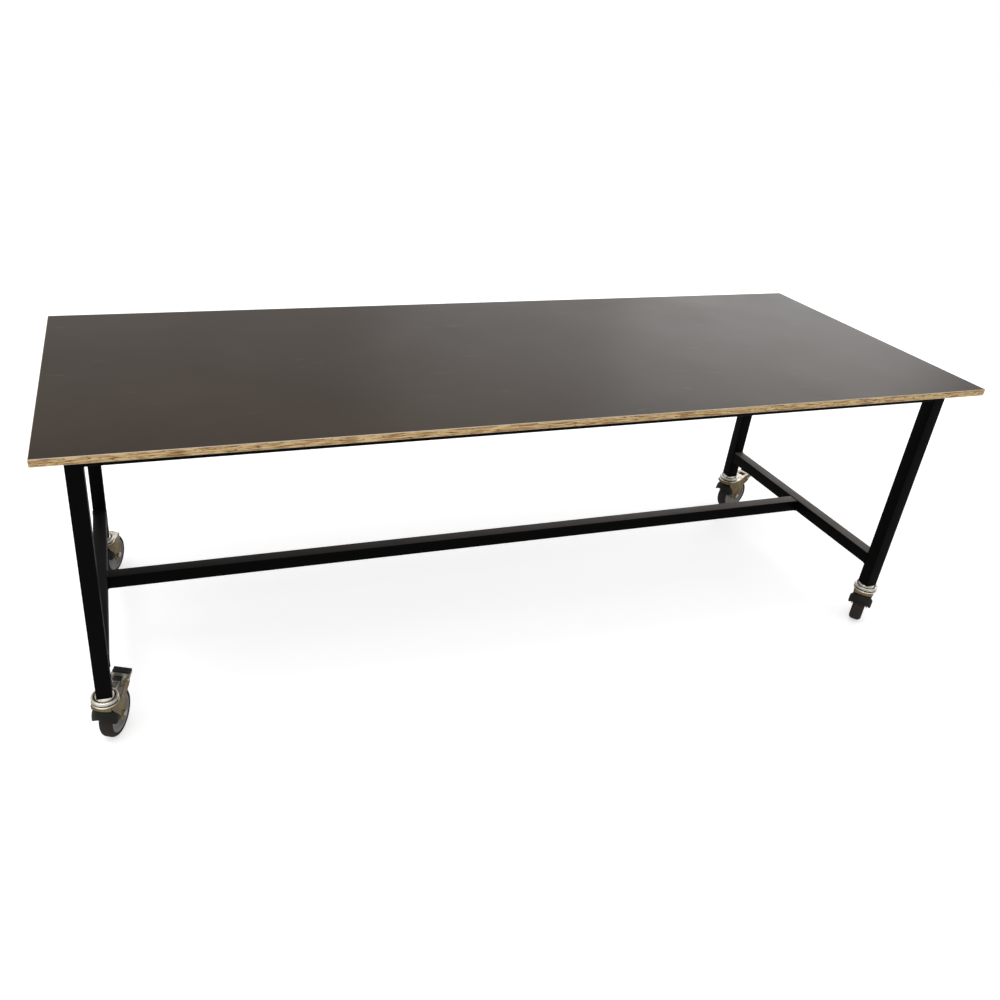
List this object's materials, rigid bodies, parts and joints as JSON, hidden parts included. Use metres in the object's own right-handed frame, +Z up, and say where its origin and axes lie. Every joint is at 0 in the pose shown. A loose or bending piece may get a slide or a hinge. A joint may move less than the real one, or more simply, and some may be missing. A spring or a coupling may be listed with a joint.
{
  "type": "mobile assembly table",
  "caption": "Long assembly table: film-faced plywood top on a black square-tube steel frame with an H-shaped lower stretcher, standing on swivel castors, some with a foot brake.",
  "frame": {"origin": "on the floor, straight below the middle of the plywood top", "axes": "+X along the table, +Y from the front edge to the rear edge, +Z up"},
  "size_m": [2.4751, 0.9187, 0.838],
  "materials": {
    "film_faced_ply": "satin brown phenolic film, bare veneer edges",
    "black_powder_coat": "satin powder coat",
    "zinc_plate": "bright zinc plating",
    "bright_steel": "plain bright",
    "black_plastic": "fine grain",
    "grey_plastic": "satin",
    "dark_rubber": "matt"
  },
  "bodies": {
    "frame": {"plywood_top": "film_faced_ply", "leg_front_left": "black_powder_coat", "leg_insert_front_left": "black_powder_coat", "leg_front_right": "black_powder_coat", "leg_insert_front_right": "black_powder_coat", "leg_rear_left": "black_powder_coat", "leg_insert_rear_left": "black_powder_coat", "leg_rear_right": "black_powder_coat", "leg_insert_rear_right": "black_powder_coat", "top_rail_front": "black_powder_coat", "top_rail_rear": "black_powder_coat", "top_rail_left": "black_powder_coat", "top_rail_right": "black_powder_coat", "top_rail_cross": "black_powder_coat", "end_stretcher_left": "black_powder_coat", "end_stretcher_right": "black_powder_coat", "long_stretcher": "black_powder_coat", "castor_front_left_head": "zinc_plate", "castor_front_left_king_bolt": "bright_steel", "castor_front_left_bearing": "bright_steel", "castor_front_right_head": "zinc_plate", "castor_front_right_king_bolt": "bright_steel", "castor_front_right_bearing": "bright_steel", "castor_rear_left_head": "zinc_plate", "castor_rear_left_king_bolt": "bright_steel", "castor_rear_left_bearing": "bright_steel", "castor_rear_right_head": "zinc_plate", "castor_rear_right_king_bolt": "bright_steel", "castor_rear_right_bearing": "bright_steel"},
    "front_left_fork": {"castor_front_left_fork": "zinc_plate", "castor_front_left_guard": "black_plastic", "castor_front_left_axle_bolt": "bright_steel", "castor_front_left_axle_nut": "bright_steel", "castor_front_left_brake_pin": "bright_steel"},
    "front_left_wheel": {"castor_front_left_wheel_core": "grey_plastic", "castor_front_left_wheel_tread": "dark_rubber"},
    "front_left_pedal": {"castor_front_left_brake_lever": "zinc_plate", "castor_front_left_brake_pad": "black_plastic"},
    "front_right_fork": {"castor_front_right_fork": "zinc_plate", "castor_front_right_guard": "black_plastic", "castor_front_right_axle_bolt": "bright_steel", "castor_front_right_axle_nut": "bright_steel"},
    "front_right_wheel": {"castor_front_right_wheel_core": "grey_plastic", "castor_front_right_wheel_tread": "dark_rubber"},
    "rear_left_fork": {"castor_rear_left_fork": "zinc_plate", "castor_rear_left_guard": "black_plastic", "castor_rear_left_axle_bolt": "bright_steel", "castor_rear_left_axle_nut": "bright_steel"},
    "rear_left_wheel": {"castor_rear_left_wheel_core": "grey_plastic", "castor_rear_left_wheel_tread": "dark_rubber"},
    "rear_right_fork": {"castor_rear_right_fork": "zinc_plate", "castor_rear_right_guard": "black_plastic", "castor_rear_right_axle_bolt": "bright_steel", "castor_rear_right_axle_nut": "bright_steel", "castor_rear_right_brake_pin": "bright_steel"},
    "rear_right_wheel": {"castor_rear_right_wheel_core": "grey_plastic", "castor_rear_right_wheel_tread": "dark_rubber"},
    "rear_right_pedal": {"castor_rear_right_brake_lever": "zinc_plate", "castor_rear_right_brake_pad": "black_plastic"}
  },
  "joints": [
    {"name": "front_left_swivel", "type": "hinge", "parent": "frame", "child": "front_left_fork", "pos_m": [-1.141, -0.371, 0.131], "axis": [0, 0, 1], "continuous": true},
    {"name": "front_left_spin", "type": "hinge", "parent": "front_left_fork", "child": "front_left_wheel", "pos_m": [-1.12473, -0.33446, 0.0625], "axis": [-0.9135, 0.4067, 0], "continuous": true},
    {"name": "front_left_brake", "type": "hinge", "parent": "front_left_fork", "child": "front_left_pedal", "pos_m": [-1.10683, -0.29426, 0.131], "axis": [-0.9135, 0.4067, 0], "range_deg": [0, 10]},
    {"name": "front_right_swivel", "type": "hinge", "parent": "frame", "child": "front_right_fork", "pos_m": [1.141, -0.371, 0.131], "axis": [0, 0, 1], "continuous": true},
    {"name": "front_right_spin", "type": "hinge", "parent": "front_right_fork", "child": "front_right_wheel", "pos_m": [1.17164, -0.34529, 0.0625], "axis": [-0.6428, 0.766, 0], "continuous": true},
    {"name": "rear_left_swivel", "type": "hinge", "parent": "frame", "child": "rear_left_fork", "pos_m": [-1.141, 0.371, 0.131], "axis": [0, 0, 1], "continuous": true},
    {"name": "rear_left_spin", "type": "hinge", "parent": "rear_left_fork", "child": "rear_left_wheel", "pos_m": [-1.12346, 0.40695, 0.0625], "axis": [-0.8988, 0.4384, 0], "continuous": true},
    {"name": "rear_right_swivel", "type": "hinge", "parent": "frame", "child": "rear_right_fork", "pos_m": [1.141, 0.371, 0.131], "axis": [0, 0, 1], "continuous": true},
    {"name": "rear_right_spin", "type": "hinge", "parent": "rear_right_fork", "child": "rear_right_wheel", "pos_m": [1.17964, 0.38135, 0.0625], "axis": [-0.2588, 0.9659, 0], "continuous": true},
    {"name": "rear_right_brake", "type": "hinge", "parent": "rear_right_fork", "child": "rear_right_pedal", "pos_m": [1.22214, 0.39274, 0.131], "axis": [-0.2588, 0.9659, 0], "range_deg": [0, 10]}
  ]
}
